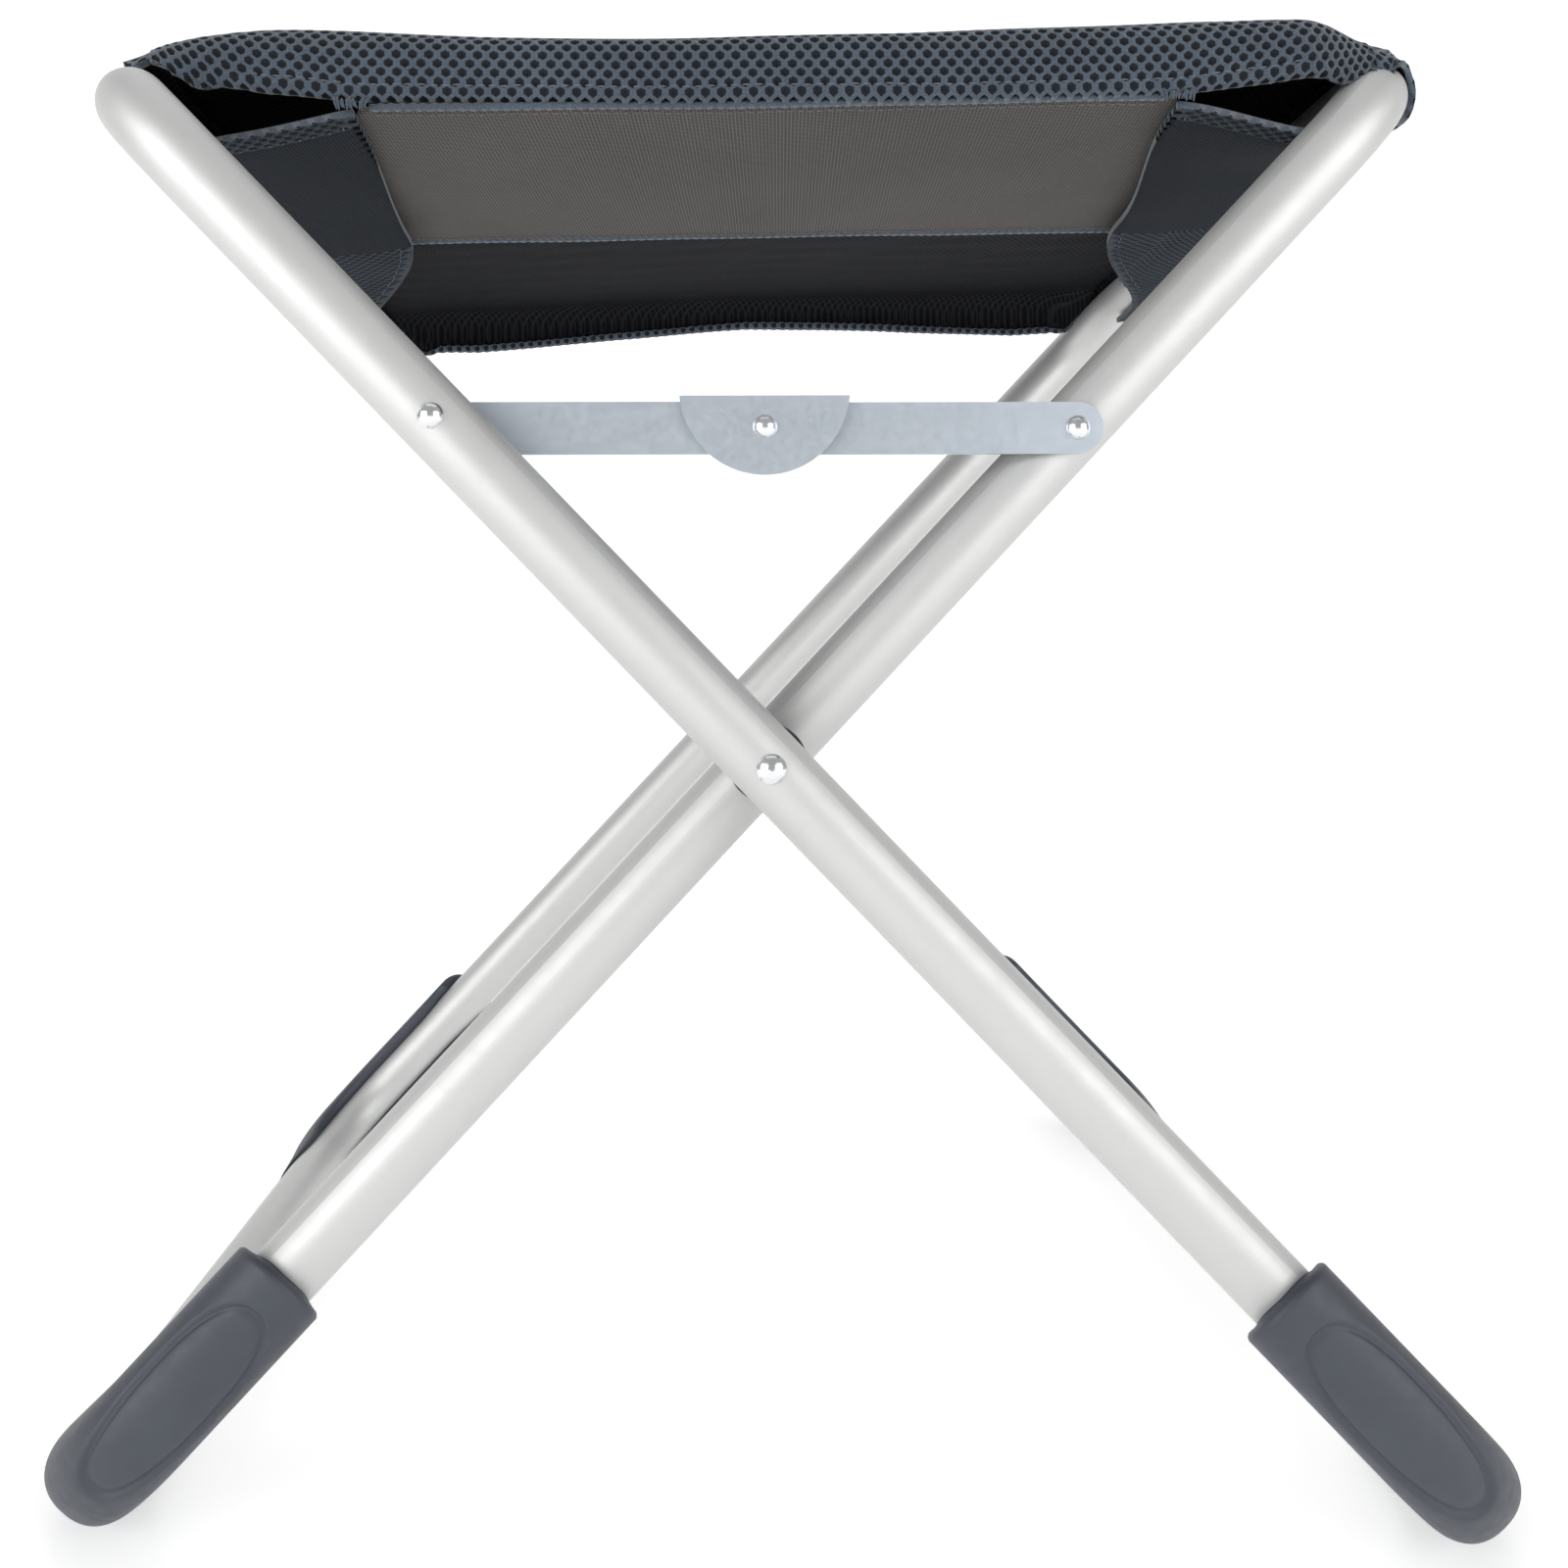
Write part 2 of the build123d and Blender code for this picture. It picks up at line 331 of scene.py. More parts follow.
strand_dark = (0.030, 0.040, 0.054)
strand_light = (0.074, 0.098, 0.127)
materials = {
    "tube": tube_material(),
    "foot": foot_material(),
    "brace": brace_material(),
    "rivet": rivet_material(),
    "spacer": spacer_material(),
    "plug": spacer_material(),
}
mesh_strand = yarn_material("mesh_strand", strand_dark, strand_light)
# A darker copy of the strand yarn for the open net of the returns under the bars: painted shade.
shaded_strand = yarn_material(
    "shaded_strand", (0.012, 0.016, 0.022), (0.034, 0.044, 0.057), sheen=0.0
)
# Near-black yarn for the pit in each knitted cell: painted shade in the holes.
hole_painted_shade = yarn_material("hole_painted_shade", (0.004, 0.005, 0.007), (0.012, 0.015, 0.019), sheen=0.0)
mesh_back = weave_material(
    "mesh_back", (0.017, 0.018, 0.021), (0.004, 0.0043, 0.0052), row_pitch, 0.6, 0.0, 0.1
)
hem_yarn = yarn_material("hem_yarn", strand_dark, strand_light, 1800.0)
liner_weave = weave_material(
    "liner_weave", (0.118, 0.111, 0.104), (0.028, 0.026, 0.024), 0.0012, 0.06, 0.05, 0.1
)
# The facing's own dark blue weave, made darker still to stand for the shade under the seat: its own
# colour and painted shade.
facing_weave = weave_material(
    "facing_weave", (0.023, 0.027, 0.034), (0.007, 0.0085, 0.011), 0.0012, 0.06, 0.0, 0.05
)
thread_yarn = yarn_material("thread_yarn", (0.05, 0.06, 0.075), (0.16, 0.18, 0.21), 3800.0)
cover_slots = [mesh_strand, hole_painted_shade, mesh_back, facing_weave, shaded_strand]
strand_slot, hole_shade_slot, back_slot, facing_slot, shade_slot = range(5)

# Mesh tools --------------------------------------------------------------------------------


def make_object(name, verts, faces, slots, face_slots=None):
    mesh = bpy.data.meshes.new(name)
    mesh.from_pydata([tuple(v) for v in verts], [], faces)
    for material in slots:
        mesh.materials.append(material)
    if face_slots is not None:
        mesh.polygons.foreach_set("material_index", np.array(face_slots, np.int32))
    mesh.polygons.foreach_set("use_smooth", np.full(len(mesh.polygons), True))
    mesh.validate()
    mesh.update()
    made = bpy.data.objects.new(name, mesh)
    bpy.context.scene.collection.objects.link(made)
    return made


def bend_with_frames(piece):
    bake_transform(piece)


def hexagon(half_width, half_height, half_side):
    """Corners of a hexagon that stands on its point, from the lowest one round."""
    right = [(0, -half_height), (half_width, -half_side), (half_width, half_side)]
    return np.array(right + [(-a, -b) for a, b in right])


def net_cells(s_range, v_range, rows):
    """Hexagon cells in staggered rows, each with its middle; a half cell at a side has none.

    Also gives the row step.
    """
    columns = round((s_range[1] - s_range[0]) / hole_pitch)
    pitch = (s_range[1] - s_range[0]) / columns
    step = (v_range[1] - v_range[0]) / (rows - 1 + 2 / 3)
    tall, low = step * 2 / 3, step / 3
    cells, half_cells = [], []
    outline = hexagon(pitch / 2, tall, low)
    for row in range(rows):
        v = v_range[0] + low + row * step
        odd = row % 2
        for i in range(columns - odd):
            middle = np.array((s_range[0] + (i + (1 if odd else 0.5)) * pitch, v))
            shape = middle + outline
            shape[:, 1] = np.clip(shape[:, 1], *v_range)
            cells.append((shape, middle))
        if odd:
            for s, inward in ((s_range[0], pitch / 2), (s_range[1], -pitch / 2)):
                shape = [(s, v - tall), (s + inward, v - low), (s + inward, v + low), (s, v + tall)]
                half_cells.append((np.array(shape), None))
    return cells + half_cells, step


def knit(name, surface, s_range, v_range, clip, slots, rows, kind=None):
    """A spacer-mesh sheet: a hexagonal net with a pit in each cell, a plain back and closed edges.

    surface(s, v, height) gives points, and v may be a share of the cloth's length. clip(s, v)
    moves cell corners onto a cut edge. kind(s, v) is the slot of a cell's strands, and a cell in
    the facing's slot is closed.
    """
    cells, step = net_cells(s_range, v_range, rows)
    squeeze = step / row_pitch
    ring = hexagon(hole_half, hole_half * squeeze, hole_shoulder * squeeze)
    points, index, faces, face_slots = [], {}, [], []

    def corner(s, v):
        key = (round(s * 1e6), round(v / step * 1e3))
        if key not in index:
            index[key] = len(points)
            points.append((s, v, strand_top))
            points.append((s, v, cloth_back))
        return index[key]

    edges = {}
    for shape, middle in cells:
        cut_s, cut_v = clip(shape[:, 0], shape[:, 1]) if clip else shape.T
        moved = np.hypot(cut_s - shape[:, 0], cut_v - shape[:, 1]) > 1e-7
        if moved.all():
            continue
        loop = [corner(a, b) for a, b in zip(cut_s, cut_v)]
        loop = [v for i, v in enumerate(loop) if v != loop[i - 1]]
        if len(loop) < 3:
            continue
        strands = kind(*shape.mean(axis=0)) if kind else strand_slot
        if middle is not None and not moved.any() and strands != facing_slot:
            first = len(points)
            points += [(middle[0] + a, middle[1] + b, hole_rim) for a, b in ring]
            points.append((middle[0], middle[1], hole_floor))
            for i in range(6):
                j = (i + 1) % 6
                faces.append((loop[i], loop[j], first + j, first + i))
                face_slots.append(strands)
                # The pit's cone takes the near-black hole yarn: painted shade in the hole.
                faces.append((first + i, first + j, first + 6))
                face_slots.append(hole_shade_slot)
        else:
            faces.append(tuple(loop))
            face_slots.append(strands)
        faces.append(tuple(v + 1 for v in reversed(loop)))
        face_slots.append(back_slot)
        edges.update(((a, b), True) for a, b in zip(loop, loop[1:] + loop[:1]))
    for a, b in edges:
        if (b, a) not in edges:
            faces.append((b, a, a + 1, b + 1))
            face_slots.append(strand_slot)
    points = np.array(points)
    verts = surface(points[:, 0], points[:, 1], points[:, 2])
    return make_object(name, verts, faces, slots, face_slots)


def fix_normals(made):
    work = bmesh.new()
    work.from_mesh(made.data)
    bmesh.ops.recalc_face_normals(work, faces=work.faces)
    work.to_mesh(made.data)
    work.free()


def bead_faces(first, rings, sides):
    """Faces of a closed bead whose rings of points follow each other from first."""
    faces = []
    for i in range(rings - 1):
        for k in range(sides):
            a, b = first + i * sides + k, first + i * sides + (k + 1) % sides
            faces.append((a, b, b + sides, a + sides))
    last = first + (rings - 1) * sides
    faces.append(tuple(reversed(range(first, first + sides))))
    faces.append(tuple(range(last, last + sides)))
    return faces


def roll(name, line, normals, width, height):
    """A rolled hem: an oval bead along line, knobbly from its knitted edge."""
    sides, knots = 10, 0.12
    across = np.cross(np.gradient(line, axis=0), normals)
    across /= np.linalg.norm(across, axis=1)[:, None]
    verts = []
    for i, (spot, normal, side) in enumerate(zip(line, normals, across)):
        for k in range(sides):
            a = 2 * math.pi * (k + 0.5 * (i % 2)) / sides
            puff = 1 + knots * math.cos(math.pi * i) * math.cos(3 * a)
            verts.append(spot + (side * math.cos(a) * width + normal * math.sin(a) * height) * puff)
    made = make_object(name, verts, bead_faces(0, len(line), sides), [hem_yarn])
    fix_normals(made)
    return made


def stitch_row(name, line, normals, stitch, gap, radius):
    """Short plump thread segments lying along line."""
    sides, lift, wander = 6, 0.0003, 0.0002
    profile = [(0, 0.25, -0.3), (0.15, 0.8, 0.4), (0.5, 1, 0.9), (0.85, 0.8, 0.4), (1, 0.25, -0.3)]
    lengths = np.concatenate([[0], np.cumsum(np.linalg.norm(np.diff(line, axis=0), axis=1))])

    def at(distance, values):
        return np.array([np.interp(distance, lengths, values[:, k]) for k in range(3)])

    verts, faces = [], []
    distance = gap
    while distance + stitch < lengths[-1]:
        start, end = at(distance, line), at(distance + stitch, line)
        normal = at(distance + stitch / 2, normals)
        normal /= np.linalg.norm(normal)
        side = np.cross((end - start) / np.linalg.norm(end - start), normal)
        offset = side * random.uniform(-wander, wander)
        faces += bead_faces(len(verts), len(profile), sides)
        for share, size, high in profile:
            centre = start + (end - start) * share + normal * (lift + radius * high) + offset
            for k in range(sides):
                a = 2 * math.pi * k / sides
                verts.append(centre + (side * math.cos(a) + normal * math.sin(a)) * radius * size)
        distance += stitch + gap * random.uniform(0.8, 1.25)
    made = make_object(name, verts, faces, [thread_yarn])
    fix_normals(made)
    return made


def grid_sheet(name, surface, s_range, v_range, thick, counts, slots):
    """A thin closed sheet: two faces and four edges."""
    ns, nv = counts
    s, v = np.meshgrid(np.linspace(*s_range, ns), np.linspace(*v_range, nv), indexing="ij")
    s, v = s.ravel(), v.ravel()
    lower = surface(s, v, np.full(len(s), thick / 2))
    upper = surface(s, v, np.full(len(s), -thick / 2))
    total = ns * nv
    faces = []
    for i in range(ns - 1):
        for j in range(nv - 1):
            a = i * nv + j
            quad = (a, a + 1, a + nv + 1, a + nv)
            faces.append(quad)
            faces.append(tuple(q + total for q in reversed(quad)))
    border = [i * nv for i in range(ns)] + [(ns - 1) * nv + j for j in range(1, nv)]
    border += [i * nv + nv - 1 for i in range(ns - 2, -1, -1)] + list(range(nv - 2, 0, -1))
    for a, b in zip(border, border[1:] + border[:1]):
        faces.append((a, b, b + total, a + total))
    made = make_object(name, np.concatenate([lower, upper]), faces, slots)
    fix_normals(made)
    return made


# Seat shape --------------------------------------------------------------------------------
# Worked out in seat coordinates: x from bar to bar, z away from the line through both bars.


def settle(x, y, z):
    """From seat coordinates to the frame's."""
    return np.stack([mid_x + x * run - z * rise, y, mid_z + x * rise + z * run], 1)


def bar_shift(x, v):
    """How far a ring's bend at v has left its top bar's line, which way that is in x and z, and how
    much longer the cloth's section over it is than over the straight bar."""
    straight = np.where(x < 0, left_straight, right_straight)
    into = np.clip(np.abs(v) - straight, 0, right_front_end - right_straight)
    across = np.sqrt(bend_radius**2 - into**2)
    side = np.sign(x)
    lean_out = -side * lean_x * run - lean_z * rise
    lean_up = side * lean_x * rise - lean_z * run
    slant = (np.sqrt((bend_radius + wrap_radius) ** 2 - into**2) - across) / wrap_radius
    return bend_radius - across, lean_out, lean_up, slant


def near_bar(x):
    """How nearly the sitting face follows the tube's bend, more and more towards the bar."""
    return bar_follow * np.clip((np.abs(x) - follow_start) / (half_span - follow_start), 0, 1) ** 2


def crown(x):
    return 0.0003 * np.cos(np.pi * x / (2 * half_span))


def hump(x, v):
    """The fold stiffens the cloth beside each bar, so it stands a little proud in front."""
    height, centre = np.where(x < 0, 0.0072, 0.0004), 0.164
    away = np.abs(x) - centre
    width = np.where(away < 0, 0.075, 0.040)
    shape = np.exp(-((away / width) ** 2)) * (1 - smooth((np.abs(x) - 0.190) / 0.020))
    rear_share = 0.35
    return height * shape * (rear_share + (1 - rear_share) * smooth(-v / 0.12))


def border_drop(x, way):
    """How far the border's lowest edge lies below the sitting face."""
    front = np.where(x < 0, interpolate(-x, left_front_drops), interpolate(x, right_front_drops))
    return np.where(way < 0, front, interpolate(np.abs(x), rear_drops))


def hem_turn(x):
    """How far the hem is rolled under, as an angle: not at all where the cloth lies on the tube."""
    return math.pi * (1 - smooth((np.abs(x) - 0.168) / 0.026))


def flat_reach(x, way):
    """Where the sitting face starts to turn down; the right bar's bend starts further in."""
    level = np.where(way < 0, front_flat, rear_flat)
    return level - np.where(x < 0, 0, 0.012) * smooth((np.abs(x) - 0.165) / 0.032)


def reach(x, way):
    """How far the sitting cloth runs from the middle line, along itself, roll included."""
    core = np.maximum(border_drop(x, way) - hem_radius * hem_turn(x) / math.pi, 0.0002)
    rounded = edge_round * np.arccos(1 - np.minimum(core / edge_round, 1))
    return flat_reach(x, way) + rounded + np.maximum(core - edge_round, 0) + hem_radius * hem_turn(x)


def edge_profile(far, flat):
    """The rounded edge of the sitting face: how far out and how far down it is, and its turn."""
    beyond = np.maximum(far - flat, 0)
    turn = np.minimum(beyond / edge_round, math.pi / 2)
    straight = np.maximum(beyond - edge_round * math.pi / 2, 0)
    out = np.minimum(far, flat) + edge_round * np.sin(turn)
    return out, edge_round * (1 - np.cos(turn)) + straight, turn


def top_surface(x, v, height):
    """The sitting face with its front and back edges rounded over, turned down and hemmed."""
    way = np.where(v < 0, -1.0, 1.0)
    far = np.abs(v) * reach(x, way)
    roll_start = reach(x, way) - hem_radius * hem_turn(x)
    out, down, turn = edge_profile(np.minimum(far, roll_start), flat_reach(x, way))
    end = turn + np.maximum(far - roll_start, 0) / hem_radius
    out = out + hem_radius * (np.sin(end) - np.sin(turn))
    down = down + hem_radius * (np.cos(turn) - np.cos(end))
    sag = -0.0014 * (1 - (x / half_span) ** 2) * (1 - smooth(far / 0.17))
    seam = np.exp(-(((far - roll_start + seam_inset) / 0.0013) ** 2)) * (hem_turn(x) > 1.0)
    raised = height + 0.00045 * ripple(x, v) - 0.0008 * seam
    rear_bow = np.where(v > 0, 0.013 * (1 - smooth(np.abs(x) / 0.15)) * smooth(v / 0.16), 0)
    y = way * (out + np.sin(end) * raised) - rear_bow
    z = wrap_radius + hump(x, v) + crown(x) + sag - down + np.cos(end) * raised
    drop, lean_out, lean_up, slant = bar_shift(x, far)
    shift = (drop + wrap_radius * lean_up * (slant - 1)) * near_bar(x)
    return settle(x + lean_out * shift, y, z + lean_up * shift)


# Along a sleeve: the top of the bar is at lead, and the return panel begins at return_start.
arc_length = math.pi * wrap_radius
lead = half_span - junction_x
return_start = lead + arc_length
# By side, -1 being the left one: where the sleeve's edges lie once it is under the bar, how
# quickly its front edge gets there, and the angle round the bar over which the sitting face's
# rounded edge flattens out.
sleeve_front = {-1: 0.145, 1: right_front_end}
sleeve_rear = {-1: 0.150, 1: 0.126}
front_retreat = {-1: 4.5, 1: 2.8}
edge_fade = {-1: 0.9, 1: 1.1}
return_sag = 0.0016
right_dip = 0.0088


def sleeve_surface(side):
    def surface(u, t, height):
        """u runs from the junction over the bar, round its outer side and back below it; t is
        0 at the front edge and 1 at the rear one."""
        v = sleeve_place(side, u, t)
        around = np.clip((u - lead) / wrap_radius, 0, math.pi)
        before = np.minimum(u - lead, 0)
        below = np.maximum(u - return_start, 0)
        share = below / return_full[side]
        on_face = side * (half_span + before)
        turned = 1 - smooth(around / edge_fade[side])
        out, down, _ = edge_profile(np.abs(v), flat_reach(on_face, np.sign(v)))
        y = v + (np.sign(v) * out - v) * turned
        raised = height + 0.0004 * ripple(u * side, v) * np.clip(share * 3, 0, 1) - down * turned
        x = before - below + np.sin(around) * (wrap_radius + raised)
        z = np.cos(around) * (wrap_radius + raised) + crown(on_face) + hump(on_face, v)
        z = z + return_rise[side] * share**1.2 - return_sag * np.sin(np.pi * np.minimum(share, 1))
        if side > 0:
            pulled = smooth((-v - 0.11) / 0.06) * smooth(below / 0.02)
            z = z - right_dip * pulled * (1 - smooth((below - 0.022) / 0.058))
        drop, lean_out, lean_up, slant = bar_shift(np.full_like(u, side), v)
        follows = near_bar(on_face) + (1 - bar_follow) * smooth(around / 0.7)
        follows = follows * (1 - smooth(below / 0.03))
        wrap_x, wrap_z = side * np.sin(around) * wrap_radius, np.cos(around) * wrap_radius
        shift = (drop + (wrap_x * lean_out + wrap_z * lean_up) * (slant - 1)) * follows
        return settle(side * (half_span + x) + lean_out * shift, y, z + lean_up * shift)

    return surface


def return_reach(side, v):
    """Width of the panel that comes back below the bar: full in front, narrow behind."""
    front = return_full[side] + (return_middle - return_full[side]) * smooth((v + 0.18) / 0.13)
    return front - 0.055 * smooth((v + 0.055) / 0.170)


def return_front(side, below):
    return interpolate(below, left_return_front if side < 0 else right_return_front)


def sleeve_place(side, u, t):
    """Where the line t across the sleeve lies at u, from its front edge to its rear one."""
    junction = np.array([side * junction_x])
    top, rear_top = reach(junction, -1.0)[0], reach(junction, 1.0)[0]
    around = np.clip((u - lead) / arc_length, 0, 1)
    below = np.maximum(u - return_start, 0)
    front = top + (sleeve_front[side] - top) * smooth(around * front_retreat[side])
    front = front + (return_front(side, below) - sleeve_front[side]) * smooth(around * 2.2 - 1.2)
    rear = rear_top + (sleeve_rear[side] - rear_top) * smooth(around)
    return -front + (front + rear) * t


def sleeve_clip(side):
    def clip(u, t):
        return np.minimum(u, return_start + return_reach(side, sleeve_place(side, u, t))), t

    return clip


def return_kind(side):
    """The return is one open layer of net behind and at its hem; between, a facing covers it."""

    def kind(u, t):
        below = u - return_start
        if below < 0:
            return strand_slot
        v = sleeve_place(side, u, t)
        opened = v > facing_back_y or v < return_hem - return_front(side, below)
        # Open net here takes the darker shaded strand copy of the yarn: painted shade.
        return shade_slot if opened else facing_slot

    return kind


seat_pieces = []


def add_seat_piece(piece):
    seat_pieces.append(piece)


top_mesh = knit(
    "seat_top_mesh",
    top_surface,
    (-junction_x, junction_x),
    (-1.0, 1.0),
    None,
    cover_slots,
    2 * round(top_half_length / row_pitch) + 1,
)
add_seat_piece(top_mesh)
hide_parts("seat_top_panel")

for side, label in ((-1, "left"), (1, "right")):
    sleeve_mesh = knit(
        f"{label}_sleeve_mesh",
        sleeve_surface(side),
        (0.0, return_start + return_full[side]),
        (0.0, 1.0),
        sleeve_clip(side),
        cover_slots,
        2 * round(sleeve_half_length / row_pitch) + 1,
        return_kind(side),
    )
    if side < 0:
        sleeve_mesh.data.flip_normals()
    add_seat_piece(sleeve_mesh)
    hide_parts(f"{label}_sleeve_panel")


def edge_line(surface, s, v, height=0.0):
    """Points on a surface, with its normals there."""
    points = surface(s, v, np.full(len(s), height))
    raised = surface(s, v, np.full(len(s), height + 0.001))
    normals = raised - points
    normals /= np.linalg.norm(normals, axis=1)[:, None]
    return points, normals


hem_xs = np.linspace(-0.166, 0.166, 180)
for label, way in (("front", -1.0), ("rear", 1.0)):
    seam = 1 - (hem_radius * hem_turn(hem_xs) + seam_inset) / reach(hem_xs, way)
    line, normals = edge_line(top_surface, hem_xs, way * seam, hem_thread_height)
    stitches = stitch_row(
        f"{label}_hem_stitching", line, normals, stitch=0.0028, gap=0.0009, radius=0.00026
    )
    add_seat_piece(stitches)

for side, label in ((-1, "left"), (1, "right")):
    surface = sleeve_surface(side)
    us = return_start + np.linspace(0.018, return_full[side] - 0.001, 50)
    depth = sleeve_place(side, us, 1.0) - sleeve_place(side, us, 0.0)
    line, normals = edge_line(surface, us, (return_hem + 0.001) / depth, return_thread_height)
    stitches = stitch_row(
        f"{label}_return_front_stitching", line, normals, stitch=0.0026, gap=0.0009, radius=0.00018
    )
    add_seat_piece(stitches)
    ts = np.linspace(0.02, 0.90, 150)
    us = np.full(len(ts), return_start + return_full[side])
    # The line's place across the sleeve depends on u, so u is worked out in a few rounds.
    for _ in range(4):
        us = return_start + return_reach(side, sleeve_place(side, us, ts)) - return_stitch_inset
    line, normals = edge_line(surface, us, ts, return_thread_height)
    stitches = stitch_row(
        f"{label}_return_stitching", line, normals, stitch=0.0030, gap=0.0010, radius=0.00020
    )
    add_seat_piece(stitches)


def bartack(name, centre, along, normal, length, turns, radius):
    """A dense clump of back-and-forth stitches that ties the border to the return."""
    sides, steps = 6, 5
    along, normal = np.array(along, float), np.array(normal, float)
    across = np.cross(normal, along)
    verts, faces = [], []
    for turn in range(turns):
        start = centre + along * (turn / (turns - 1) - 0.5) * length
        lean = random.uniform(-0.0014, 0.0014)
        half_height = random.uniform(0.0011, 0.0021)
        faces += bead_faces(len(verts), steps, sides)
        for share in np.linspace(0, 1, steps):
            bow = math.sin(math.pi * share)
            spot = start + along * lean * share
            spot = spot + across * (share - 0.5) * 2 * half_height + normal * (bow * 0.0011 - 0.0004)
            size = radius * (0.45 + 0.55 * bow)
            for k in range(sides):
                a = 2 * math.pi * k / sides
                verts.append(spot + (along * math.cos(a) + normal * math.sin(a)) * size)
    made = make_object(name, verts, faces, [hem_yarn])
    fix_normals(made)
    return made


tack_spots = (("left", (-0.1345, -0.1800, -0.0060)), ("right", (0.1245, -0.1800, -0.0117)))
for label, spot in tack_spots:
    tack = bartack(
        f"{label}_corner_bartack",
        settle(*np.array(spot)[:, None])[0],
        along=(1, 0, 0),
        normal=(0, -1, 0),
        length=0.0085,
        turns=12,
        radius=0.00042,
    )
    add_seat_piece(tack)

# Liner -------------------------------------------------------------------------------------


def liner_front(x):
    """The liner's front edge, which draws back a little at its corners."""
    corner = np.where(x < 0, 0.149, 0.140)
    return liner_front_y + 0.014 * smooth((np.abs(x) - corner) / 0.010)


def liner_surface(x, share, height):
    y = liner_front(x) * (1 - share) + liner_back_y * share
    belly = -liner_belly * np.sin(np.pi * share) * (1 - (x / liner_half) ** 2)
    x = x * (liner_taper + (1 - liner_taper) * smooth(share / 0.5))
    z = liner_rise * share**1.3 - liner_drop - liner_tilt * x + belly + 0.0004 * ripple(x, y)
    return settle(x, y, z - height)


liner = grid_sheet(
    "underside_liner_mesh",
    liner_surface,
    (-liner_half, liner_half),
    (0.0, 1.0),
    liner_thick,
    (96, 52),
    [liner_weave],
)
add_seat_piece(liner)
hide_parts("seat_underside_liner")
liner_trim = []
rear_xs = np.linspace(-liner_half + 0.002, liner_half - 0.002, 160)
front_xs = np.linspace(-0.147, 0.137, 150)
line, normals = edge_line(liner_surface, rear_xs, np.full(len(rear_xs), 1.0))
liner_trim.append(roll("liner_rear_hem", line, normals, width=0.0017, height=0.0010))
line, normals = edge_line(liner_surface, front_xs, np.full(len(front_xs), 0.0))
liner_trim.append(roll("liner_front_seam", line, normals, width=0.0016, height=0.0011))
liner_rows = (("rear_1", rear_xs, 0.976), ("rear_2", rear_xs, 0.959), ("front", front_xs, 0.026))
for label, xs, share in liner_rows:
    line, normals = edge_line(liner_surface, xs, np.full(len(xs), share), liner_thick / 2)
    stitches = stitch_row(
        f"liner_stitching_{label}", line, normals, stitch=0.0024, gap=0.0008, radius=0.00022
    )
    liner_trim.append(stitches)
for piece in liner_trim:
    add_seat_piece(piece)

for piece in seat_pieces:
    bend_with_frames(piece)

# Feet --------------------------------------------------------------------------------------

# Lengths along a leg are from the pivot.
floor_reach = 0.319
leg_end = floor_reach - bend_radius
bend_end = leg_end + bend_radius * math.pi / 2
foot_top = 0.213
foot_tail = 0.084 - bend_radius
foot_half_width = 0.016
foot_out = 0.0155
foot_power = 2.35
foot_wrap = math.radians(101)
oval_middle, oval_half, oval_width, oval_depth = 0.2595, 0.0355, 0.0130, 0.0010
oval_power = 2.5
shoe_points = 110
shoe_stations = np.concatenate(
    [
        foot_top + np.array([0, 0.0003, 0.0008, 0.0016, 0.0030, 0.0050, 0.0075]),
        np.arange(foot_top + 0.0100, 0.2980, 0.0005),
        np.linspace(0.2985, bend_end, 44),
        np.linspace(bend_end + 0.001, bend_end + foot_tail, 40),
    ]
)


def shoe_section(s):
    """The shoe's section at s: its points' angles from the outer side, the outer surface's
    distances from the tube's middle, and how far the points slide along for the slanted lip."""
    tail = max(s - bend_end, 0) / foot_tail
    spread = np.linspace(-1, 1, shoe_points)
    deeper = 1 + 0.17 * smooth((s - foot_top - 0.004) / 0.030)
    angle = spread * foot_wrap * deeper * math.sqrt(max(1 - 0.92 * tail**2, 0.02))
    radius = (
        np.abs(np.cos(angle) / foot_out) ** foot_power
        + np.abs(np.sin(angle) / foot_half_width) ** foot_power
    ) ** (-1 / foot_power)
    oval = np.abs((s - oval_middle) / oval_half) ** oval_power
    oval = (oval + np.abs(radius * np.sin(angle) / oval_width) ** oval_power) ** (1 / oval_power)
    inside = (1 - oval) * oval_width
    rim = 0.0006 * np.exp(-(((inside - 0.0007) / 0.0006) ** 2))
    sunk = (oval_depth * smooth(inside / 0.0007) + rim) * (np.cos(angle) > 0)
    lip = 0.0014 * (1 - min((s - foot_top) / 0.0016, 1)) ** 2
    edge = 0.0010 * smooth((np.abs(spread) - 0.95) / 0.05)
    taper = 1 - 0.82 * smooth((s - bend_end + 0.030) / (foot_tail + 0.030))
    outer = tube_radius + 0.0001 + (radius - sunk - lip - edge - tube_radius) * taper
    slope = 0.49 * (1 - smooth((s - foot_top) / 0.022))
    return angle, outer, (foot_out - np.minimum(radius * np.cos(angle), foot_out)) * slope


def shell_faces(stations, points):
    """Faces of a shell whose every station has its outer points first and then its inner ones."""
    loop = 2 * points
    faces = []
    for i in range(stations - 1):
        first, second = i * loop, (i + 1) * loop
        for k in range(points - 1):
            faces.append((first + k, first + k + 1, second + k + 1, second + k))
            inner, inner_next = first + points + k, second + points + k
            faces.append((inner_next, inner_next + 1, inner + 1, inner))
        for k, order in ((0, 1), (points - 1, -1)):
            rim = (first + k, second + k, second + points + k, first + points + k)
            faces.append(rim[::order])
    for i, order in ((0, 1), (stations - 1, -1)):
        for k in range(i * loop, i * loop + points - 1):
            faces.append((k, k + points, k + points + 1, k + 1)[::order])
    return faces


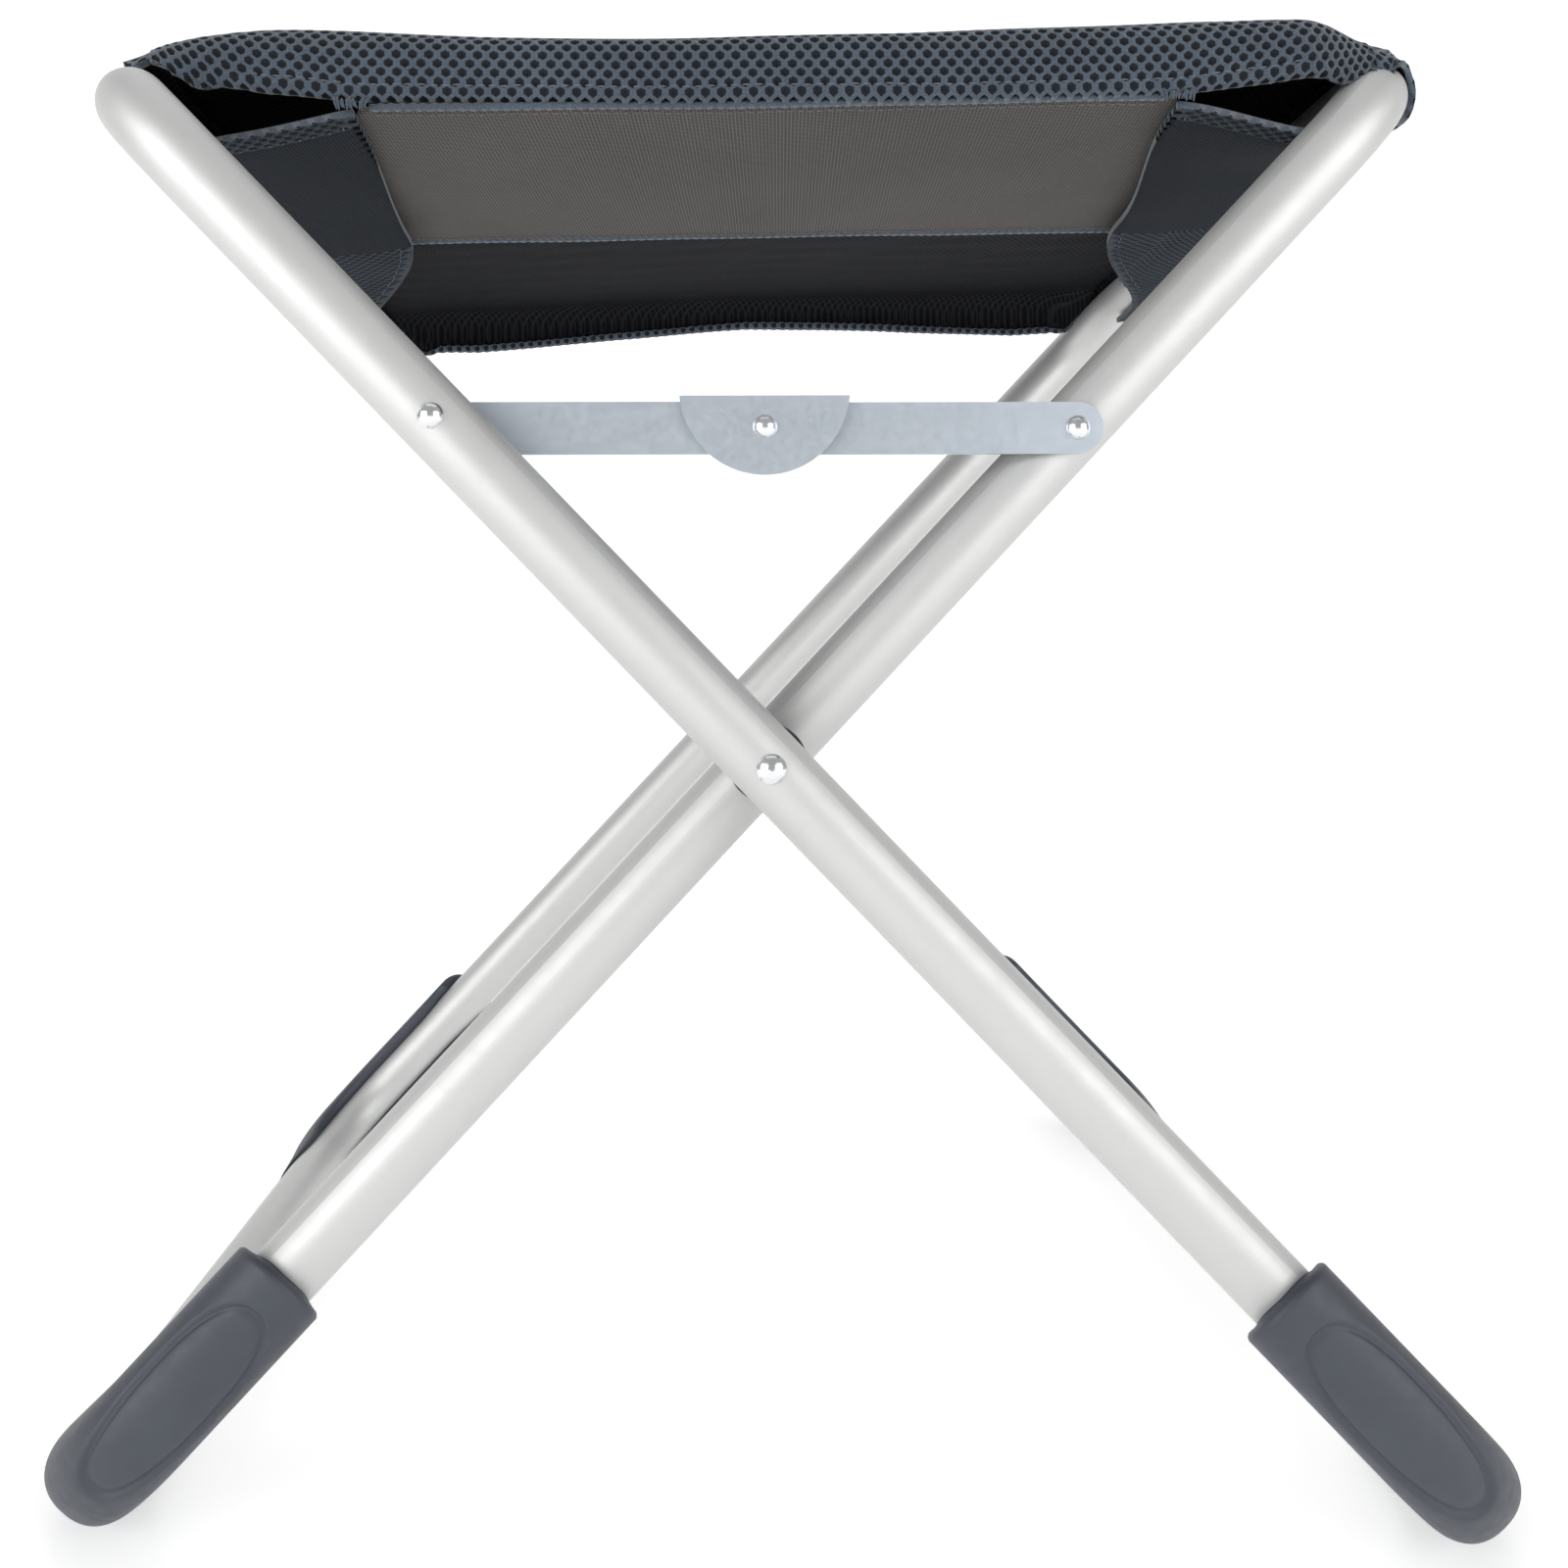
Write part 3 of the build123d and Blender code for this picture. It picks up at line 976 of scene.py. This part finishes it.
def shoe(name, node_name, body, way, half, side):
    """A moulded shoe round the outer side of a bottom bend, with a slanted lip and a plain oval."""
    down = np.array((way * lean_x, 0, -lean_z))
    outward = np.array((0, side, 0))
    across = np.cross(down, outward)
    pivot = np.array((0, 0, pivot_z))
    verts = []
    for s in shoe_stations:
        turn = min(max(s - leg_end, 0) / bend_radius, math.pi / 2)
        out = outward * math.cos(turn) + down * math.sin(turn)
        heading = down * math.cos(turn) - outward * math.sin(turn)
        spot = pivot + down * min(s, leg_end) + outward * half
        spot = spot + (out - outward) * bend_radius + heading * max(s - bend_end, 0)
        angle, outer, shift = shoe_section(s)
        for radius in (outer, np.full(shoe_points, tube_radius + 0.00005)):
            a, b = radius * np.sin(angle), radius * np.cos(angle)
            verts.extend(spot + a[:, None] * across + b[:, None] * out + shift[:, None] * heading)
    verts = np.array(verts)
    verts[:, 2] = np.maximum(verts[:, 2], 0)
    faces = shell_faces(len(shoe_stations), shoe_points)
    made = make_object(name, verts, faces, [materials["foot"]])
    fix_normals(made)
    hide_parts(node_name)
    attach(made, body)


outer_half = outer_high.y - tube_radius
inner_half = inner_high.y - tube_radius
for end, side in (("front", -1), ("rear", 1)):
    shoe(f"{end}_left_shoe", f"{end}_left_foot", "inner_frame", -1, inner_half, side)
    shoe(f"{end}_right_shoe", f"{end}_right_foot", "outer_frame", 1, outer_half, side)

# Carried-over hardware ---------------------------------------------------------------------

slot_words = {word: word for word in ("tube", "plug", "foot", "rivet", "spacer")}
slot_words |= {"link": "brace", "plate": "brace"}
for name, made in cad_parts.items():
    slot_name = slot_words.get(name.rsplit("_", 1)[1])
    if slot_name:
        made.data.materials.clear()
        made.data.materials.append(materials[slot_name])

# Stage, lights and camera ------------------------------------------------------------------


def cyclorama():
    """A pale floor that curves up into a back wall."""
    half_width, front, back, radius, height, steps = 6.0, -3.0, 3.0, 1.5, 5.0, 24
    profile = [(front, 0.0), (back - radius, 0.0)]
    for i in range(1, steps + 1):
        a = math.pi / 2 * i / steps
        profile.append((back - radius + radius * math.sin(a), radius - radius * math.cos(a)))
    profile.append((back, height))
    verts = [(x, y, z) for y, z in profile for x in (-half_width, half_width)]
    faces = [(2 * i, 2 * i + 1, 2 * i + 3, 2 * i + 2) for i in range(len(profile) - 1)]
    material, tree, shader = new_material("pale_floor", (0.9, 0.9, 0.9), 0.9, specular=0.1)
    color = ramp(tree, noise(tree, 1.5), [(0.3, 0.90), (0.7, 0.93)])
    tree.links.new(color, shader.inputs["Base Color"])
    shader.inputs["Emission Color"].default_value = (1, 1, 1, 1)
    shader.inputs["Emission Strength"].default_value = 0.42
    made = make_object("studio_floor", verts, faces, [material])


def area_light(name, location, target, size, power):
    data = bpy.data.lights.new(name, "AREA")
    data.shape = "RECTANGLE"
    data.size, data.size_y = size
    data.energy = power
    made = bpy.data.objects.new(name, data)
    bpy.context.scene.collection.objects.link(made)
    made.location = location
    made.rotation_euler = (Vector(target) - Vector(location)).to_track_quat("-Z", "Y").to_euler()


cyclorama()
area_light("key_light", (-1.6, -1.5, 0.55), (0, 0, 0.25), (1.6, 1.6), 30)
area_light("fill_light", (1.6, -1.5, 0.55), (0, 0, 0.25), (1.6, 1.6), 24)
area_light("top_light", (0.0, 0.3, 2.4), (0, 0, 0.3), (2.0, 2.0), 6)

world = bpy.data.worlds.new("studio")
world.use_nodes = True
world.node_tree.nodes["Background"].inputs["Color"].default_value = (1, 1, 1, 1)
world.node_tree.nodes["Background"].inputs["Strength"].default_value = 0.42
bpy.context.scene.world = world

# The camera looks almost level from in front, with a slight roll.
camera_place = Vector((-0.0213, -0.6087, 0.2809))
yaw, pitch, tilt = math.radians(-1.93), math.radians(0.66), math.radians(-0.46)
ahead = Vector((-math.sin(yaw) * math.cos(pitch), math.cos(yaw) * math.cos(pitch), math.sin(pitch)))
level = Vector((math.cos(yaw), math.sin(yaw), 0))
upward = level.cross(ahead)
right = level * math.cos(tilt) + upward * math.sin(tilt)
above = upward * math.cos(tilt) - level * math.sin(tilt)
camera_data = bpy.data.cameras.new("camera")
camera_data.lens = 31.77
camera_data.sensor_width = 36.0
camera_data.shift_x = 0.0260
camera_data.shift_y = -0.0959
camera_data.clip_start = 0.01
camera = bpy.data.objects.new("camera", camera_data)
turn = Matrix((right, above, -ahead)).transposed().to_4x4()
camera.matrix_world = Matrix.Translation(camera_place) @ turn
bpy.context.scene.collection.objects.link(camera)
bpy.context.scene.camera = camera
bpy.context.scene.view_settings.view_transform = "Standard"
